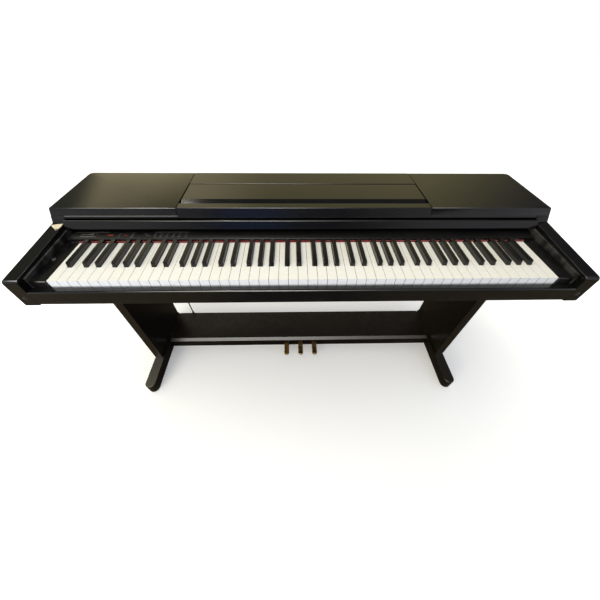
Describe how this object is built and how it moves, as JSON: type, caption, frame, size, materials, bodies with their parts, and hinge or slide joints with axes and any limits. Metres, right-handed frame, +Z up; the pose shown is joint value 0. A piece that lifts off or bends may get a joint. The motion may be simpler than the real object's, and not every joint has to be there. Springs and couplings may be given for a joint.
{
  "type": "digital piano on stand",
  "caption": "Console digital piano with sliding key cover, folding music rest and full keyboard, on a panel stand with long feet and a low pedal box.",
  "frame": {"origin": "on the floor, under the middle of the whole object's box", "axes": "+X to the player's right along the keyboard, +Y away from the player, +Z up"},
  "size_m": [1.38, 0.4719, 0.786],
  "materials": {
    "cabinet_black": "satin black lacquer",
    "stand_black": "black-brown laminate",
    "keybed_board": "raw dark board",
    "panel_black": "fine texture",
    "key_ivory": "gloss",
    "key_black": "satin",
    "felt_red": "wool felt",
    "button_black": "satin",
    "rail_dark": "dark anodised",
    "steel": "plated",
    "pedal_brass": "polished",
    "circuit_green": "solder mask",
    "speaker_cone": "paper cone and steel basket",
    "grille_black": "perforated",
    "cable_black": "smooth",
    "chassis_grey": "moulded"
  },
  "bodies": {
    "cabinet": {"back_board": "stand_black", "cable_plug": "cable_black", "cheek_blocks": "cabinet_black", "control_panel": "panel_black", "cover_rails": "rail_dark", "feet": "stand_black", "felt_strip": "felt_red", "front_rail": "cabinet_black", "headphone_box": "panel_black", "jack_plate": "rail_dark", "key_chassis": "chassis_grey", "key_rod": "steel", "key_slip": "cabinet_black", "keybed": "keybed_board", "leg_left": "stand_black", "leg_right": "stand_black", "main_board": "circuit_green", "pedal_axle": "steel", "pedal_box": "stand_black", "pedal_cable": "cable_black", "power_supply": "steel", "rear_panel": "keybed_board", "rest_tray": "keybed_board", "side_left": "cabinet_black", "side_right": "cabinet_black", "speaker_grilles": "grille_black", "speakers": "speaker_cone", "stand_caps": "button_black", "top_left": "cabinet_black", "top_rear_centre": "cabinet_black", "top_right": "cabinet_black"},
    "key_cover": {"key_cover": "cabinet_black", "cover_lip": "cabinet_black"},
    "music_rest": {"music_rest": "cabinet_black", "rest_hinge_pins": "steel"},
    "volume_knob": {"volume_knob": "button_black"},
    "power_button": {"power_button": "button_black"},
    "keys_c": {"keys_c": "key_ivory"},
    "keys_c_sharp": {"keys_c_sharp": "key_black"},
    "keys_d": {"keys_d": "key_ivory"},
    "keys_d_sharp": {"keys_d_sharp": "key_black"},
    "keys_e": {"keys_e": "key_ivory"},
    "keys_f": {"keys_f": "key_ivory"},
    "keys_f_sharp": {"keys_f_sharp": "key_black"},
    "keys_g": {"keys_g": "key_ivory"},
    "keys_g_sharp": {"keys_g_sharp": "key_black"},
    "keys_a": {"keys_a": "key_ivory"},
    "keys_a_sharp": {"keys_a_sharp": "key_black"},
    "keys_b": {"keys_b": "key_ivory"},
    "panel_button_1": {"panel_button_1": "button_black"},
    "panel_button_2": {"panel_button_2": "button_black"},
    "panel_button_3": {"panel_button_3": "button_black"},
    "panel_button_4": {"panel_button_4": "button_black"},
    "panel_button_5": {"panel_button_5": "button_black"},
    "panel_button_6": {"panel_button_6": "button_black"},
    "panel_button_7": {"panel_button_7": "button_black"},
    "panel_button_8": {"panel_button_8": "button_black"},
    "pedal_left": {"pedal_left": "pedal_brass"},
    "pedal_centre": {"pedal_centre": "pedal_brass"},
    "pedal_right": {"pedal_right": "pedal_brass"}
  },
  "joints": [
    {"name": "key_cover_slide", "type": "slide", "parent": "cabinet", "child": "key_cover", "axis": [0, -0.9988, -0.0499], "range_m": [0, 0.188]},
    {"name": "music_rest_hinge", "type": "hinge", "parent": "cabinet", "child": "music_rest", "pos_m": [0, 0.035, 0.777], "axis": [1, 0, 0], "range_deg": [0, 68]},
    {"name": "keys_c_press", "type": "hinge", "parent": "cabinet", "child": "keys_c", "pos_m": [0, 0.006, 0.71], "axis": [1, 0, 0], "range_deg": [0, 2.6], "stiffness_Nm_per_rad": 6, "springref_deg": -11.46},
    {"name": "keys_c_sharp_press", "type": "hinge", "parent": "cabinet", "child": "keys_c_sharp", "pos_m": [0, 0.006, 0.71], "axis": [1, 0, 0], "range_deg": [0, 2.6], "stiffness_Nm_per_rad": 6, "springref_deg": -11.46},
    {"name": "keys_d_press", "type": "hinge", "parent": "cabinet", "child": "keys_d", "pos_m": [0, 0.006, 0.71], "axis": [1, 0, 0], "range_deg": [0, 2.6], "stiffness_Nm_per_rad": 6, "springref_deg": -11.46},
    {"name": "keys_d_sharp_press", "type": "hinge", "parent": "cabinet", "child": "keys_d_sharp", "pos_m": [0, 0.006, 0.71], "axis": [1, 0, 0], "range_deg": [0, 2.6], "stiffness_Nm_per_rad": 6, "springref_deg": -11.46},
    {"name": "keys_e_press", "type": "hinge", "parent": "cabinet", "child": "keys_e", "pos_m": [0, 0.006, 0.71], "axis": [1, 0, 0], "range_deg": [0, 2.6], "stiffness_Nm_per_rad": 6, "springref_deg": -11.46},
    {"name": "keys_f_press", "type": "hinge", "parent": "cabinet", "child": "keys_f", "pos_m": [0, 0.006, 0.71], "axis": [1, 0, 0], "range_deg": [0, 2.6], "stiffness_Nm_per_rad": 6, "springref_deg": -11.46},
    {"name": "keys_f_sharp_press", "type": "hinge", "parent": "cabinet", "child": "keys_f_sharp", "pos_m": [0, 0.006, 0.71], "axis": [1, 0, 0], "range_deg": [0, 2.6], "stiffness_Nm_per_rad": 6, "springref_deg": -11.46},
    {"name": "keys_g_press", "type": "hinge", "parent": "cabinet", "child": "keys_g", "pos_m": [0, 0.006, 0.71], "axis": [1, 0, 0], "range_deg": [0, 2.6], "stiffness_Nm_per_rad": 6, "springref_deg": -11.46},
    {"name": "keys_g_sharp_press", "type": "hinge", "parent": "cabinet", "child": "keys_g_sharp", "pos_m": [0, 0.006, 0.71], "axis": [1, 0, 0], "range_deg": [0, 2.6], "stiffness_Nm_per_rad": 6, "springref_deg": -11.46},
    {"name": "keys_a_press", "type": "hinge", "parent": "cabinet", "child": "keys_a", "pos_m": [0, 0.006, 0.71], "axis": [1, 0, 0], "range_deg": [0, 2.6], "stiffness_Nm_per_rad": 6, "springref_deg": -11.46},
    {"name": "keys_a_sharp_press", "type": "hinge", "parent": "cabinet", "child": "keys_a_sharp", "pos_m": [0, 0.006, 0.71], "axis": [1, 0, 0], "range_deg": [0, 2.6], "stiffness_Nm_per_rad": 6, "springref_deg": -11.46},
    {"name": "keys_b_press", "type": "hinge", "parent": "cabinet", "child": "keys_b", "pos_m": [0, 0.006, 0.71], "axis": [1, 0, 0], "range_deg": [0, 2.6], "stiffness_Nm_per_rad": 6, "springref_deg": -11.46},
    {"name": "volume_slide", "type": "slide", "parent": "cabinet", "child": "volume_knob", "axis": [1, 0, 0], "range_m": [-0.0285, 0]},
    {"name": "panel_button_1_press", "type": "slide", "parent": "cabinet", "child": "panel_button_1", "axis": [0, 0, -1], "range_m": [0, 0.0012], "stiffness_N_per_m": 300, "springref_m": -0.001},
    {"name": "panel_button_2_press", "type": "slide", "parent": "cabinet", "child": "panel_button_2", "axis": [0, 0, -1], "range_m": [0, 0.0012], "stiffness_N_per_m": 300, "springref_m": -0.001},
    {"name": "panel_button_3_press", "type": "slide", "parent": "cabinet", "child": "panel_button_3", "axis": [0, 0, -1], "range_m": [0, 0.0012], "stiffness_N_per_m": 300, "springref_m": -0.001},
    {"name": "panel_button_4_press", "type": "slide", "parent": "cabinet", "child": "panel_button_4", "axis": [0, 0, -1], "range_m": [0, 0.0012], "stiffness_N_per_m": 300, "springref_m": -0.001},
    {"name": "panel_button_5_press", "type": "slide", "parent": "cabinet", "child": "panel_button_5", "axis": [0, 0, -1], "range_m": [0, 0.0012], "stiffness_N_per_m": 300, "springref_m": -0.001},
    {"name": "panel_button_6_press", "type": "slide", "parent": "cabinet", "child": "panel_button_6", "axis": [0, 0, -1], "range_m": [0, 0.0012], "stiffness_N_per_m": 300, "springref_m": -0.001},
    {"name": "panel_button_7_press", "type": "slide", "parent": "cabinet", "child": "panel_button_7", "axis": [0, 0, -1], "range_m": [0, 0.0012], "stiffness_N_per_m": 300, "springref_m": -0.001},
    {"name": "panel_button_8_press", "type": "slide", "parent": "cabinet", "child": "panel_button_8", "axis": [0, 0, -1], "range_m": [0, 0.0012], "stiffness_N_per_m": 300, "springref_m": -0.001},
    {"name": "power_button_press", "type": "slide", "parent": "cabinet", "child": "power_button", "axis": [0, 0, -1], "range_m": [0, 0.0018], "stiffness_N_per_m": 300, "springref_m": -0.001},
    {"name": "pedal_left_press", "type": "hinge", "parent": "cabinet", "child": "pedal_left", "pos_m": [-0.068, 0.138, 0.025], "axis": [1, 0, 0], "range_deg": [0, 4], "stiffness_Nm_per_rad": 12, "springref_deg": -5.73},
    {"name": "pedal_centre_press", "type": "hinge", "parent": "cabinet", "child": "pedal_centre", "pos_m": [0, 0.138, 0.025], "axis": [1, 0, 0], "range_deg": [0, 4], "stiffness_Nm_per_rad": 12, "springref_deg": -5.73},
    {"name": "pedal_right_press", "type": "hinge", "parent": "cabinet", "child": "pedal_right", "pos_m": [0.068, 0.138, 0.025], "axis": [1, 0, 0], "range_deg": [0, 4], "stiffness_Nm_per_rad": 12, "springref_deg": -5.73}
  ]
}
